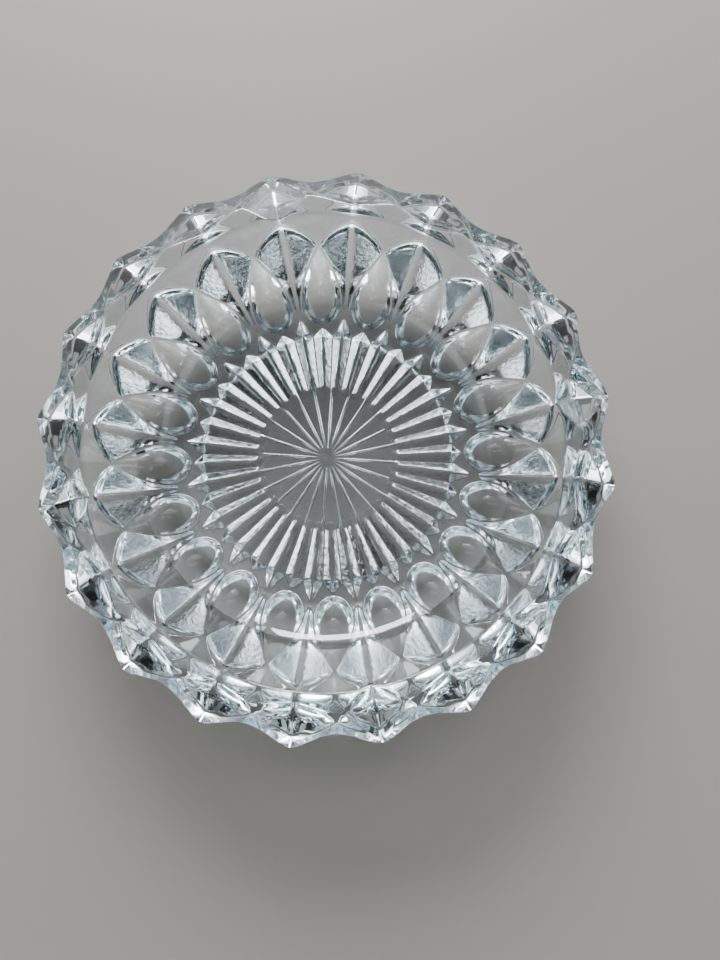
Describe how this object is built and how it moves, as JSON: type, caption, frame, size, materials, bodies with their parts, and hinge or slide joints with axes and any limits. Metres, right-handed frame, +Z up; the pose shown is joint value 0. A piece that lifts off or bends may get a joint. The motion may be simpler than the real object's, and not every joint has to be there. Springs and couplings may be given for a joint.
{
  "type": "pressed glass dish",
  "caption": "Clear one-piece pressed-glass dish or ashtray with a pointed crown rim, leaf-cut wall, notched rests and a starburst base.",
  "frame": {"origin": "centre of the foot ring, on the surface the dish stands on", "axes": "+Z up through the middle of the bowl; +X through the middle of one deep rim notch, +Y through the next"},
  "size_m": [0.1936, 0.1936, 0.038],
  "materials": {
    "glass": "gloss"
  },
  "bodies": {
    "root": {"glass_dish": "glass"}
  },
  "joints": []
}
